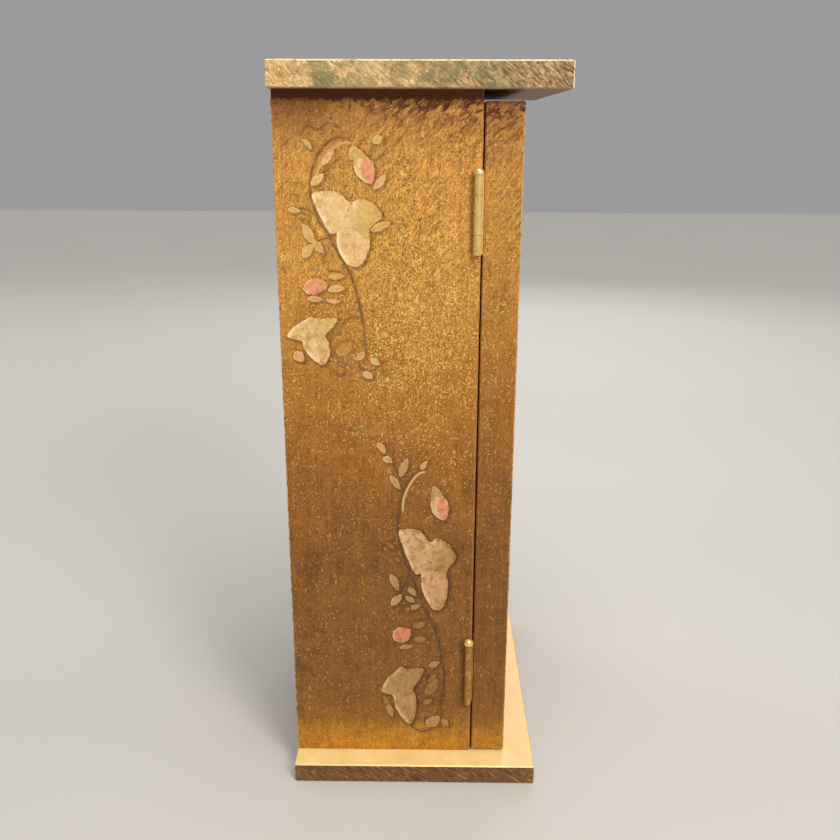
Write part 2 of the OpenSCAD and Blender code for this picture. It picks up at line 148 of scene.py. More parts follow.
class Graph:
    """A material's node tree. Each method adds a node and gives back the socket it makes."""

    def __init__(self, name):
        self.material = bpy.data.materials.new(name)
        self.material.use_nodes = True
        self.tree = self.material.node_tree
        self.shader = self.tree.nodes["Principled BSDF"]

    def feed(self, socket, value):
        """Links or sets an input. Three numbers are a colour as on a screen."""
        if isinstance(value, bpy.types.NodeSocket):
            self.tree.links.new(value, socket)
        elif socket.type == "RGBA" and len(value) == 3:
            socket.default_value = srgb(*value)
        else:
            socket.default_value = value

    def add(self, kind, inputs, output=0, **settings):
        node = self.tree.nodes.new(kind)
        for key, value in settings.items():
            setattr(node, key, value)
        for key, value in inputs.items():
            self.feed(node.inputs[key], value)
        return node.outputs[output]

    def place(self):
        """Where a point is in the chest at rest, in millimetres."""
        at = self.add("ShaderNodeTexCoord", {}, "Object")
        return self.add("ShaderNodeVectorMath", {"Vector": at, "Scale": 1 / MM}, operation="SCALE")

    def normal(self):
        return self.add("ShaderNodeTexCoord", {}, "Normal")

    def split(self, vector):
        node = self.tree.nodes.new("ShaderNodeSeparateXYZ")
        self.feed(node.inputs[0], vector)
        return node.outputs

    def stretch(self, vector, factors):
        return self.add("ShaderNodeVectorMath", {0: vector, 1: factors}, operation="MULTIPLY")

    def slant(self, vector, degrees, factors):
        """Turns the place about X, then stretches it, for strokes that lie across a board's side."""
        turned = self.add("ShaderNodeMapping", {"Vector": vector, "Rotation": (math.radians(degrees), 0, 0)})
        return self.stretch(turned, factors)

    def attribute(self, name):
        return self.add("ShaderNodeAttribute", {}, "Fac", attribute_name=name)

    def math(self, operation, *values, clamp=False):
        return self.add("ShaderNodeMath", dict(enumerate(values)), operation=operation, use_clamp=clamp)

    def times(self, *values):
        return self.math("MULTIPLY", *values)

    def plus(self, *values, clamp=False):
        return self.math("ADD", *values, clamp=clamp)

    def minus(self, *values, clamp=False):
        return self.math("SUBTRACT", *values, clamp=clamp)

    def noise(self, vector, per_mm, detail=3.0, roughness=0.55, distortion=0.0):
        return self.add("ShaderNodeTexNoise", {
            "Vector": vector, "Scale": per_mm, "Detail": detail, "Roughness": roughness,
            "Distortion": distortion})

    def span(self, value, low, high, to_low=0.0, to_high=1.0, kind="SMOOTHSTEP"):
        """value from low..high to to_low..to_high, held at both ends."""
        return self.add("ShaderNodeMapRange", {
            "Value": value, "From Min": low, "From Max": high, "To Min": to_low, "To Max": to_high},
            interpolation_type=kind, clamp=True)

    def linear(self, value, low, high, to_low=0.0, to_high=1.0):
        return self.span(value, low, high, to_low, to_high, "LINEAR")

    def hump(self, value, middle, width):
        """1 where value is at middle, falling off as a bell of that half width."""
        off = self.math("DIVIDE", self.minus(value, middle), width)
        return self.math("EXPONENT", self.times(self.times(off, off), -1.0))

    def mix(self, share, first, second, blend="MIX"):
        return self.add("ShaderNodeMix", {0: share, 6: first, 7: second}, 2,
                        data_type="RGBA", blend_type=blend)

    def over(self, under, colour, share, *shares):
        """A colour laid over another one by its share. More shares multiply it."""
        for factor in shares:
            share = self.times(share, factor)
        return self.mix(share, under, colour)

    def ramp(self, value, stops):
        node = self.tree.nodes.new("ShaderNodeValToRGB")
        elements = node.color_ramp.elements
        while len(elements) < len(stops):
            elements.new(0.5)
        for element, (at, *colour) in zip(elements, stops):
            element.position, element.color = at, srgb(*colour)
        self.feed(node.inputs[0], value)
        return node.outputs[0]

    def flecks(self, vector, per_mm, density, size=0.42):
        """Spots, one to a cell, in the share of cells that density says."""
        cell = self.tree.nodes.new("ShaderNodeTexVoronoi")
        self.feed(cell.inputs["Vector"], vector)
        cell.inputs["Scale"].default_value = per_mm
        lot = self.split(cell.outputs["Color"])[0]
        near = self.span(cell.outputs["Distance"], size * 0.6, size, 1.0, 0.0)
        chosen = self.math("GREATER_THAN", self.minus(density, lot), 0.0)
        return self.times(near, chosen)

    def specks(self, vector, per_mm, share):
        """Irregular specks of fine noise, covering more where share is higher, from 0 to 1."""
        fine = self.noise(vector, per_mm, 2, 0.6)
        low = self.linear(share, 0, 1, 0.67, 0.47)
        return self.span(self.minus(fine, low), 0.0, 0.05)

    def worn_edge(self, at, per_mm, low, high):
        """Patches of a board's bevels, none on its flat faces."""
        x, y, z = (self.math("ABSOLUTE", part) for part in self.split(self.normal()))
        largest = self.math("MAXIMUM", x, self.math("MAXIMUM", y, z))
        return self.times(self.span(largest, 0.80, 0.95, 1.0, 0.0),
                          self.span(self.noise(at, per_mm, 4, 0.7), low, high))

    def finish(self, colour, roughness, height=None, bump=0.05, metallic=None, **constants):
        """Sets the surface. height is the socket that drives the bump, whose depth is bump mm."""
        self.feed(self.shader.inputs["Base Color"], colour)
        self.feed(self.shader.inputs["Roughness"], roughness)
        if metallic is not None:
            self.feed(self.shader.inputs["Metallic"], metallic)
        if height is not None:
            raised = self.add("ShaderNodeBump", {"Height": height, "Strength": 1.0, "Distance": bump * MM})
            self.feed(self.shader.inputs["Normal"], raised)
        for name, value in constants.items():
            self.feed(self.shader.inputs[name.replace("_", " ")], value)
        return self.material


# ---- Materials ----

def sponged_gold(g):
    """Bronze-gold paint dabbed over brown, with bright flecks. Gives colour, flecks and height."""
    at = g.place()
    _, y, z = g.split(at)
    blotch = g.noise(at, 0.05, 3)
    dab = g.noise(at, 0.35, 4, 0.6, 0.4)
    grain = g.noise(at, 1.15, 4, 0.75)
    brushed = g.noise(g.stretch(at, (0.5, 0.09, 0.7)), 1.0, 3)
    streaked = g.noise(g.stretch(at, (0.9, 0.9, 0.06)), 1.0, 4, 0.65)
    height = g.plus(g.linear(z, 0, CHEST_H), g.times(g.minus(blotch, 0.5), 0.26))
    tone = g.ramp(height, [(0.08, 132, 86, 32), (0.34, 128, 82, 32), (0.50, 152, 98, 36),
                           (0.62, 176, 116, 44), (0.78, 200, 142, 62), (0.95, 200, 140, 68)])
    # A warm band just above the base: painted glow of the light that the base's pale top throws back.
    painted_base_glow = g.times(g.hump(z, DECK + 5, 10), g.span(g.noise(at, 0.12, 3), 0.3, 0.6, 0.55, 1.0))
    tone = g.over(tone, (198, 136, 34), painted_base_glow, 0.8)
    patch = g.span(g.noise(at, 0.09, 3), 0.40, 0.66)
    heart = g.times(g.hump(y, 2, 24), g.hump(z, 212, 48))
    upper = g.span(z, 110, 240, 0.0, 0.18)
    sandy = g.plus(g.times(heart, 0.80),
                   g.plus(g.times(patch, g.span(z, 60, 200, 0.25, 0.48)), upper), clamp=True)
    lively = g.plus(g.times(sandy, 0.50), 0.58)
    cloudy = g.minus(g.noise(at, 0.15, 4, 0.68, 0.6), 0.5)
    coarse = g.plus(g.linear(grain, 0.30, 0.70, -0.46, 0.46), g.linear(dab, 0.3, 0.7, -0.12, 0.12))
    value = g.plus(g.times(coarse, lively), g.linear(brushed, 0.3, 0.7, 0.93, 1.07))
    value = g.times(value, g.linear(streaked, 0.3, 0.7, 0.80, 1.20))
    value = g.plus(value, g.times(cloudy, g.span(z, 110, 190, 1.15, 0.35)))
    # Diagonal brush ridges on the upper part: the colour is lighter on them and darker between them as
    # painted light and shade, and they are raised in the relief.
    stroke = g.minus(g.noise(g.slant(at, 52, (1, 0.26, 1.2)), 0.85, 3, 0.7, 0.5), 0.5)
    stroked = g.times(g.span(z, 205, 245, 0.25, 2.6), g.span(g.noise(at, 0.06, 2), 0.40, 0.56, 0.3, 1.0))
    value = g.plus(value, g.times(stroke, stroked))
    tone = g.mix(1.0, tone, value, "MULTIPLY")
    fleck = g.math("MAXIMUM", g.specks(at, 1.5, g.plus(g.times(sandy, 0.60), 0.08)),
                   g.times(g.specks(g.stretch(at, (1, 1, 0.6)), 0.85, g.times(sandy, 0.45)), 0.8))
    bright = g.mix(g.span(z, 90, 210), (222, 170, 90), (250, 206, 112))
    tone = g.mix(g.times(fleck, 0.85), tone, bright)
    pits = g.specks(g.stretch(at, (1.3, 1.3, 1.1)), 1.3, g.times(lively, 0.62))
    tone = g.over(tone, (92, 52, 14), pits, 0.52)
    door = g.linear(y, SEAM - 0.05, SEAM - 0.25, 0.0, 0.22)
    tone = g.over(tone, (110, 66, 26), door)
    relief = g.times(lively, g.plus(g.minus(grain, g.times(pits, 0.4)), g.plus(dab, g.times(fleck, 0.6))))
    relief = g.plus(relief, g.times(g.times(stroke, stroked), 1.2))
    return tone, fleck, relief


def paint_material():
    """The gold paint of the sides, door and drawer fronts, darkened where the decoration says."""
    g = Graph("gold_paint")
    tone, fleck, relief = sponged_gold(g)
    at = g.place()
    x, y, z = g.split(at)
    # Painted shade under the top board's overhang, stronger towards the back edge.
    overhang_painted_shade = g.times(g.span(z, EAVES - 25, EAVES - 5), g.span(y, 18, 44, 0.18, 0.62))
    tone = g.over(tone, (120, 70, 30), overhang_painted_shade)
    scratch = g.noise(g.slant(at, 38, (0.5, 0.22, 0.55)), 0.9, 5, 0.75, 0.9)
    lower = g.times(g.hump(z, EAVES - 15, 8), g.span(y, 12, -24, 0.15, 0.65))
    where = g.plus(g.hump(z, EAVES - 6, 4.5), lower)
    outer = g.math("MAXIMUM", g.span(g.math("ABSOLUTE", x), 46, 50), g.span(y, SEAM + 0.05, SEAM - 0.25))
    where = g.times(where, outer)
    smudge = g.times(g.times(where, g.span(y, 34, 8, 0.35, 1.0)), g.span(scratch, 0.47, 0.56))
    tone = g.over(tone, (84, 34, 14), smudge, 0.85)
    # A dark band just under the top board with a ragged lower edge: partly bare brown undercoat and partly
    # painted shade of the top board.
    ragged = g.times(g.minus(g.noise(at, 0.45, 5, 0.75), 0.5), 7.5)
    bare_and_shaded_band = g.span(g.plus(z, ragged), EAVES - 4.2, EAVES - 3.2)
    tone = g.over(tone, (92, 44, 22), bare_and_shaded_band, outer, 0.93)
    ghost = g.attribute("ghost")
    tone = g.over(tone, (206, 164, 100), ghost, 0.34)
    shade = g.attribute("shade")
    uneven = g.span(g.noise(at, 0.8, 4, 0.7), 0.32, 0.62, 0.35, 1.0)
    dark = g.mix(g.span(z, 110, 190), (58, 32, 8), (84, 48, 14))
    tone = g.mix(g.times(g.times(shade, uneven), 0.92), tone, dark)
    worn = g.worn_edge(at, 0.5, 0.36, 0.60)
    at_seam = g.minus(1.0, g.hump(y, SEAM, 1.4))
    worn = g.times(worn, g.times(at_seam, g.span(y, 40, 52, 0.42, 0.9)))
    tone = g.over(tone, (240, 204, 148), worn)
    facing = [g.math("ABSOLUTE", part) for part in g.split(g.normal())]
    # Red-brown on the faces where the door meets the case: painted shade for the dark seam between them.
    seam_faces_shade = g.times(g.hump(y, SEAM, 0.8), g.span(facing[1], 0.6, 0.9))
    tone = g.over(tone, (122, 40, 42), seam_faces_shade, 0.7)
    # A painted highlight along the side's front edge, beside the seam.
    beside = g.times(g.hump(y, SEAM + 0.85, 0.3), g.span(facing[0], 0.3, 0.6))
    tone = g.over(tone, (216, 130, 80), beside, 0.28)
    foot = g.times(g.span(z, DECK + 2.4, DECK + 0.9), g.span(y, SEAM, SEAM - 0.35))
    chips = g.noise(at, 0.9, 4, 0.7)
    tone = g.over(tone, (226, 188, 134), foot, g.span(chips, 0.53, 0.58))
    tone = g.over(tone, (52, 26, 12), foot, g.span(chips, 0.46, 0.40))
    return g.finish(tone, g.span(fleck, 0, 1, 0.50, 0.32), relief, 0.13,
                    g.linear(fleck, 0, 1, 0.08, 0.30), Specular_IOR_Level=0.3)


def top_material():
    """Cream-gold paint rubbed off along the edges, with green showing through in places."""
    g = Graph("cream_gold_paint")
    at = g.place()
    _, y, z = g.split(at)
    up = g.split(g.normal())[2]
    plaster = g.noise(g.slant(at, -35, (0.5, 0.42, 1.1)), 0.75, 5, 0.72, 0.9)
    ridge = g.noise(g.slant(at, -40, (0.6, 0.35, 1.6)), 0.9, 3, 0.6, 0.7)
    grain = g.noise(at, 1.2, 3, 0.7)
    cloud = g.noise(at, 0.09, 3)
    rubbed = g.plus(g.times(plaster, 0.75), g.times(cloud, 0.25))
    edge = g.ramp(rubbed, [(0.34, 126, 92, 50), (0.44, 180, 142, 86), (0.54, 214, 178, 122),
                           (0.68, 238, 208, 152)])
    worn_end = g.span(y, -36, -30, 0.55, 0.0)
    edge = g.over(edge, (150, 106, 48), worn_end, g.span(plaster, 0.45, 0.6, 1.0, 0.2))
    # On the ridges of the edge's paint, more towards the right end: painted shade in their hollows and a
    # painted highlight on their crests.
    ridge_shade = g.times(g.span(y, 0, -36, 0.35, 0.9), g.span(ridge, 0.50, 0.38))
    edge = g.over(edge, (98, 64, 22), ridge_shade)
    ridge_highlight = g.times(g.span(y, 10, -36, 0.1, 0.7), g.span(ridge, 0.56, 0.66))
    edge = g.over(edge, (250, 222, 158), ridge_highlight)
    green_zone = g.plus(g.hump(y, 32, 13), g.plus(g.hump(y, -18, 17), g.times(g.hump(y, 4, 9), 0.5)))
    green = g.times(g.span(green_zone, 0.05, 0.8), g.span(g.noise(at, 0.14, 5, 0.7, 0.5), 0.36, 0.60))
    edge = g.over(edge, (104, 108, 54), green, 0.72)
    deep = g.times(green, g.times(g.span(z, 304, 297), g.span(grain, 0.40, 0.55)))
    edge = g.over(edge, (52, 84, 44), deep, 0.45)
    light = g.times(g.linear(y, -55, 55, 0.66, 1.34), g.linear(grain, 0.3, 0.7, 0.76, 1.24))
    edge = g.mix(1.0, edge, light, "MULTIPLY")
    gold, fleck, _ = sponged_gold(g)
    under = g.mix(g.noise(at, 0.3, 4), (88, 58, 38), (134, 96, 60))
    tone = g.mix(g.span(up, 0.3, 0.8), edge, gold)
    tone = g.mix(g.span(up, -0.8, -0.3, 1.0, 0.0), tone, under)
    worn = g.worn_edge(at, 0.5, 0.34, 0.52)
    tone = g.over(tone, (250, 228, 184), worn, g.span(up, -0.4, -0.1, 0.25, 0.85))
    rough = g.plus(g.plus(plaster, g.times(grain, 0.4)), g.times(ridge, 0.7))
    return g.finish(tone, 0.52, rough, 0.34, g.times(fleck, 0.2))


def base_material():
    """Pale satin gold on the upper face, with brown grain showing on the edges."""
    g = Graph("pale_gold_paint")
    at = g.place()
    y = g.split(at)[1]
    up = g.split(g.normal())[2]
    satin = g.noise(at, 0.10, 4, 0.6)
    top = g.ramp(satin, [(0.30, 234, 204, 136), (0.50, 240, 212, 148), (0.70, 246, 219, 160)])
    # The strip of the upper face in front of the door is darker: painted shade.
    front_painted_shade = g.mix(1.0, top, (0.90, 0.74, 0.72, 1.0), "MULTIPLY")
    top = g.mix(g.span(y, DOOR_FRONT + 5, DOOR_FRONT - 5), top, front_painted_shade)
    grain = g.noise(g.slant(at, -38, (0.5, 0.16, 1.0)), 1.2, 5, 0.7, 0.7)
    edge = g.ramp(grain, [(0.32, 58, 32, 14), (0.48, 106, 68, 32), (0.60, 138, 96, 48),
                          (0.72, 206, 162, 100)])
    tone = g.mix(g.span(up, 0.4, 0.8), edge, top)
    worn = g.worn_edge(at, 0.6, 0.36, 0.52)
    tone = g.over(tone, (226, 182, 120), worn, 0.45)
    height = g.plus(g.noise(at, 1.8, 4, 0.6), g.times(grain, g.span(up, 0.4, 0.8, 1.2, 0.0)))
    return g.finish(tone, g.span(up, 0.4, 0.8, 0.6, 0.36), height, 0.05, g.span(up, 0.4, 0.8, 0.05, 0.25))


def wood_material(name, dark, light, along):
    """Plain wood with its grain along one axis."""
    g = Graph(name)
    at = g.place()
    factors = tuple(0.05 if axis == along else 0.9 for axis in "xyz")
    grain = g.noise(g.stretch(at, factors), 1.0, 6, 0.62, 0.8)
    pores = g.noise(g.stretch(at, tuple(f * 5 for f in factors)), 1.0, 3, 0.6)
    tone = g.ramp(grain, [(0.28, *dark), (0.72, *light)])
    deep = [channel * 0.45 for channel in srgb(*dark)[:3]] + [1.0]
    tone = g.mix(g.span(pores, 0.60, 0.72, 0, 0.45), tone, deep)
    height = g.minus(grain, g.times(g.span(pores, 0.6, 0.72), 0.6))
    return g.finish(tone, g.span(grain, 0.3, 0.7, 0.62, 0.5), height, 0.05)


def back_material():
    """Thin brown-gold paint, with the wood's grain under it."""
    g = Graph("back_paint")
    at = g.place()
    grain = g.noise(g.stretch(at, (0.8, 0.8, 0.05)), 1.0, 5, 0.6, 0.6)
    patch = g.noise(at, 0.04, 4, 0.6)
    tone = g.mix(g.span(patch, 0.35, 0.65), (124, 82, 38), (146, 98, 46))
    tone = g.over(tone, (84, 52, 24), g.span(grain, 0.45, 0.7, 0, 0.5))
    fleck = g.flecks(at, 2.2, g.span(patch, 0.4, 0.7, 0.02, 0.12), 0.45)
    tone = g.over(tone, (226, 176, 84), fleck)
    return g.finish(tone, 0.55, g.plus(grain, g.noise(at, 2.0, 4)), 0.06)


def brass_material():
    """Bright pale brass with a little tarnish and a few dabs of gold paint."""
    g = Graph("brass")
    at = g.place()
    tarnish = g.span(g.noise(at, 0.8, 4, 0.65), 0.40, 0.72)
    tone = g.mix(tarnish, (255, 228, 152), (220, 168, 90))
    dab = g.span(g.noise(at, 0.45, 4, 0.7, 0.6), 0.56, 0.66)
    tone = g.over(tone, (190, 140, 70), dab, 0.6)
    return g.finish(tone, g.span(tarnish, 0, 1, 0.24, 0.38), g.noise(at, 2.5, 3), 0.015,
                    g.linear(dab, 0, 1, 0.68, 0.35))


def painted_brass_material():
    """A hinge that was painted over with the wood around it."""
    g = Graph("painted_brass")
    tone, _, relief = sponged_gold(g)
    at = g.place()
    rubbed = g.span(g.noise(g.stretch(at, (1, 1, 0.3)), 0.9, 4, 0.7), 0.53, 0.64)
    tone = g.over(tone, (190, 138, 62), 0.35)
    tone = g.over(tone, (234, 192, 112), rubbed, 0.8)
    return g.finish(tone, 0.42, relief, 0.06, g.linear(rubbed, 0, 1, 0.2, 0.8))


def steel_material(name, colour, dark):
    g = Graph(name)
    at = g.place()
    cloud = g.noise(at, 1.2, 4, 0.6)
    tone = g.mix(g.span(cloud, 0.35, 0.7), colour, dark)
    return g.finish(tone, g.span(cloud, 0.3, 0.7, 0.28, 0.5), g.noise(at, 3.5, 3), 0.01, 1.0)


def decal_material():
    """Cut-paper leaves and buds under thin gold paint. Attributes give each its own colours."""
    g = Graph("paper_decal")
    gold, _, relief = sponged_gold(g)
    at = g.place()
    z = g.split(at)[2]
    cloud = g.noise(at, 0.22, 4, 0.6)
    # Leaves are darker lower down on the chest, and browner near its foot: painted shade of the light falling
    # off downwards.
    rose = g.mix(g.span(z, 60, 230), (198, 156, 108), (234, 200, 140))
    olive = g.mix(g.span(z, 60, 230), (160, 122, 62), (208, 168, 94))
    share = g.plus(g.attribute("tint"), g.span(cloud, 0.3, 0.7, -0.25, 0.25), clamp=True)
    leaf = g.mix(share, rose, olive)
    leaf = g.over(leaf, (156, 116, 60), g.span(z, 80, 50, 0.0, 0.5))
    mottle = g.noise(at, 0.5, 4, 0.6)
    petal = g.ramp(mottle, [(0.30, 206, 116, 84), (0.55, 228, 148, 112), (0.80, 238, 184, 142)])
    # Buds are darker lower down on the chest: painted shade of the light falling off downwards.
    petal = g.over(petal, (196, 104, 70), g.span(z, 150, 90, 0.0, 0.55))
    tone = g.mix(g.attribute("pink"), leaf, petal)
    fibre = g.noise(g.stretch(at, (1, 1, 0.5)), 1.3, 5, 0.7)
    tone = g.mix(1.0, tone, g.linear(fibre, 0.28, 0.72, 0.80, 1.16), "MULTIPLY")
    dotted = g.times(g.attribute("vein"), g.span(g.noise(at, 0.9, 3), 0.40, 0.60, 0.05, 0.40))
    tone = g.over(tone, (140, 96, 44), dotted)
    near_rim = g.span(g.attribute("rim"), 0.78, 0.97)
    lit = g.times(near_rim, g.times(g.attribute("lit"), 0.8))
    tone = g.mix(lit, tone, g.mix(g.span(z, 60, 230), (228, 190, 140), (254, 228, 180)))
    rubbed = g.span(g.noise(at, 0.6, 4, 0.7), 0.42, 0.60)
    rim = g.times(near_rim, g.minus(rubbed, g.attribute("lit"), clamp=True))
    dabbed = g.span(g.noise(at, 0.30, 5, 0.75), 0.49, 0.63, 0.0, 0.65)
    veil = g.math("MAXIMUM", g.times(rim, 0.85), g.math("MAXIMUM", dabbed, g.attribute("veil")))
    tone = g.mix(veil, tone, gold)
    speck = g.specks(at, 1.5, g.span(cloud, 0.35, 0.7, 0.0, 0.35))
    tone = g.over(tone, (240, 190, 96), speck, 0.7)
    return g.finish(tone, 0.55, g.plus(fibre, g.times(relief, veil)), 0.08)


def stem_material():
    """The dark brown line of the vine, with gold rubbed over it here and there."""
    g = Graph("vine_line")
    at = g.place()
    rub = g.noise(at, 0.28, 3, 0.6)
    z = g.split(at)[2]
    # Both the line's colour and its rubbed gold are darker lower down on the chest: painted shade of the
    # light falling off downwards.
    dark = g.mix(g.span(z, 80, 220), (82, 52, 24), (124, 82, 32))
    worn = g.mix(g.span(z, 80, 220), (118, 78, 36), (168, 118, 54))
    tone = g.mix(g.span(rub, 0.46, 0.66), dark, worn)
    tone = g.over(tone, (216, 170, 108), g.attribute("pale"), 0.85)
    return g.finish(tone, 0.5, g.noise(at, 2.2, 4), 0.04)


def velvet_material():
    """Short-pile wine velvet, with lighter and darker patches as painted sheen of pile brushed one way in
    places and the other way in others.
    """
    g = Graph("wine_velvet")
    at = g.place()
    # Patches of two tones: painted sheen of the brushed pile.
    brushed = g.noise(at, 0.07, 3, 0.6, 0.8)
    pile = g.noise(at, 3.2, 3, 0.7)
    tone = g.mix(g.span(brushed, 0.38, 0.62), (84, 8, 22), (128, 20, 40))
    tone = g.mix(1.0, tone, g.linear(pile, 0.25, 0.75, 0.65, 1.3), "MULTIPLY")
    return g.finish(tone, 0.95, pile, 0.12, None, Sheen_Weight=0.7, Sheen_Roughness=0.35,
                    Sheen_Tint=(214, 90, 110), Specular_IOR_Level=0.15)


def floor_material():
    g = Graph("floor")
    cloud = g.noise(g.place(), 0.004, 2)
    return g.finish(g.mix(cloud, (180, 178, 174), (186, 184, 180)), 0.6)


def set_material(obj, material):
    obj.data.materials.clear()
    obj.data.materials.append(material)


# ---- Plane shapes, in millimetres ----

def smooth_line(points, closed=False, steps=8):
    """A Catmull-Rom curve through the points."""
    p = np.array(points, float)
    n = len(p)
    spans = n if closed else n - 1
    t = np.linspace(0, 1, steps, endpoint=False)[:, None]
    made = []
    for i in range(spans):
        if closed:
            a, b, c, d = p[i - 1], p[i], p[(i + 1) % n], p[(i + 2) % n]
        else:
            a, b, c, d = p[max(i - 1, 0)], p[i], p[i + 1], p[min(i + 2, n - 1)]
        made.append(0.5 * (2 * b + (c - a) * t + (2 * a - 5 * b + 4 * c - d) * t ** 2
                           + (3 * b - a - 3 * c + d) * t ** 3))
    if not closed:
        made.append(p[-1:])
    return np.vstack(made)


def lens(base, tip, width, blunt=0.85, lean=0.0, steps=14):
    """A leaflet's outline from its base to its tip. lean bends it to one side."""
    base, tip = np.array(base, float), np.array(tip, float)
    along = tip - base
    across = np.array((-along[1], along[0])) / np.hypot(*along)
    t = np.linspace(0, 1, steps + 1)
    half = width / 2 * np.sin(np.pi * t ** 0.85) ** blunt
    bend = lean * np.sin(np.pi * t)
    one = base + along * t[:, None] + across * (half + bend)[:, None]
    two = base + along * t[:, None] + across * (bend - half)[:, None]
    return np.vstack([one, two[-2:0:-1]])


# The tips of a broad and a slim leaf's lobes (left, right, lower). A leaf is placed by its tips.
BROAD_TIPS = [(40.7, 257.8), (14.6, 249), (25.4, 230.2)]
SLIM_TIPS = [(52.4, 202.8), (32.3, 209.6), (38.8, 191)]
# Each kind's outline, its tips, the notches between its lobes, and its heart.
LEAF_KINDS = {
    "broad": ([(40.7, 257.8), (36, 258.8), (30.5, 258.2), (26.4, 254.8), (22.6, 256.2), (18.4, 254.8),
               (15.2, 251.6), (14.6, 249), (17.2, 246.8), (19.4, 244), (19, 240), (20.2, 235),
               (22.6, 231.2), (25.4, 230.2), (28.6, 232), (31.4, 237), (31.8, 242.2), (31, 244.6),
               (34, 243), (37.2, 247.6), (39.4, 252.8)],
              BROAD_TIPS, [(26.4, 254.8), (31, 244.6), (19, 240.4)], (25.2, 245)),
    "slim": ([(52.4, 202.8), (49.6, 206.6), (46, 208.8), (43, 210.6), (40, 209.8), (36, 210.2),
              (32.3, 209.6), (34.6, 206), (37.2, 203), (36, 200), (35.7, 196), (37, 192.4),
              (38.8, 191), (42.4, 193.2), (45.6, 197), (46.6, 200.4), (49.6, 201.4)],
             SLIM_TIPS, [(40, 209.8), (46.6, 200.4), (36, 200)], (41.2, 203.5)),
}


def lobed(outline, tips, notches, heart, placed):
    """The outline moved so that its tips lie at the placed ones, with its notches and its heart."""
    def with_ones(points):
        return np.hstack([np.array(points, float), np.ones((len(points), 1))])
    move = np.linalg.solve(with_ones(tips), np.array(placed, float))
    shape = smooth_line(with_ones(outline) @ move, closed=True, steps=6)
    return shape, with_ones(notches) @ move, (with_ones([heart]) @ move)[0]


# What a vine is made of, on the chest's left side: across is Y and up is Z, in millimetres.
UPPER_VINE = {
    "broad": [BROAD_TIPS],
    "slim": [SLIM_TIPS],
    "stems": [
        [(26, 277), (30, 278.4), (35, 276), (39, 270.5), (41.2, 263), (41, 256),
         (38.5, 248), (34.5, 242), (31.6, 236), (28, 230), (25.2, 223), (23.2, 214),
         (21.9, 206), (21.8, 197)],
        [(40.5, 260.5), (36, 265.5), (30, 271)],
        [(44.5, 279.5), (41.5, 282.5), (38, 281), (34, 283.5)],
        [(34, 241.5), (38.5, 240.5), (42, 238.5)],
        [(37.8, 248.5), (43, 252), (49, 252.5)],
        [(29, 230.5), (31, 228.5), (36, 228.8)],
        [(22.5, 210), (27, 210.5), (32, 206), (35.5, 200), (33, 193.5), (26, 190)],
        [(21.8, 197), (24, 191), (20, 188.5), (15.5, 191)],
        [(34.5, 188.5), (31, 186.5), (29.5, 189.5), (32, 191)],
    ],
    "pale_stems": [[(40, 262), (37.6, 268), (33.6, 273.6), (28, 276.4), (25.5, 276)]],
    "leaflets": [
        ((44, 277.8), (40.2, 273.8), 1.8), ((36.6, 268.2), (31.8, 273.8), 2.4),
        ((41, 261), (36, 265.2), 3.2), ((17.6, 276.4), (13.8, 278.6), 3.2),
        ((17.4, 259.6), (12.8, 265.2), 2.8), ((18.6, 244.2), (11, 247.4), 3.2),
        ((50.4, 252.2), (45.4, 251.2), 2.4), ((41, 239.2), (44.8, 246.8), 3.8),
        ((40.6, 240.4), (37, 235.4), 3.2), ((45.2, 233.6), (41, 239), 3.8),
        ((35.4, 226.4), (28.6, 226.8), 2.6), ((35.8, 221.2), (28.8, 222), 3),
        ((36.6, 217.2), (30.8, 216.8), 2), ((44, 217.8), (37.4, 217.4), 2.4),
        ((24.4, 275.6), (26, 270.2), 2.8), ((21.8, 196.4), (25.4, 193), 2.6),
        ((19.4, 193.8), (15.6, 191.4), 2.8), ((22.4, 188.2), (18.6, 185.6), 2.8)],
    "ghosts": [
        ((18.4, 270.4), (13.2, 275.6), 3.8), ((36.8, 241.4), (35.4, 235.2), 2.6),
        ((37, 232), (33.6, 236), 2.8), ((33.6, 194.6), (26, 200.4), 6),
        ((34.4, 203), (30, 209.4), 3.4), ((28, 213), (22.6, 210.6), 3),
        ((33, 282), (28.6, 279.4), 2.2), ((47.5, 249.6), (42, 248.8), 2.2)],
    "buds": [((24.6, 275), (18.2, 261.4), 7.2)],
    "blooms": [((45.6, 221.8), (35.8, 223.4), 6.2, 0.95), ((49.8, 196.2), (46.4, 192.4), 4.4, 0.7)],
}
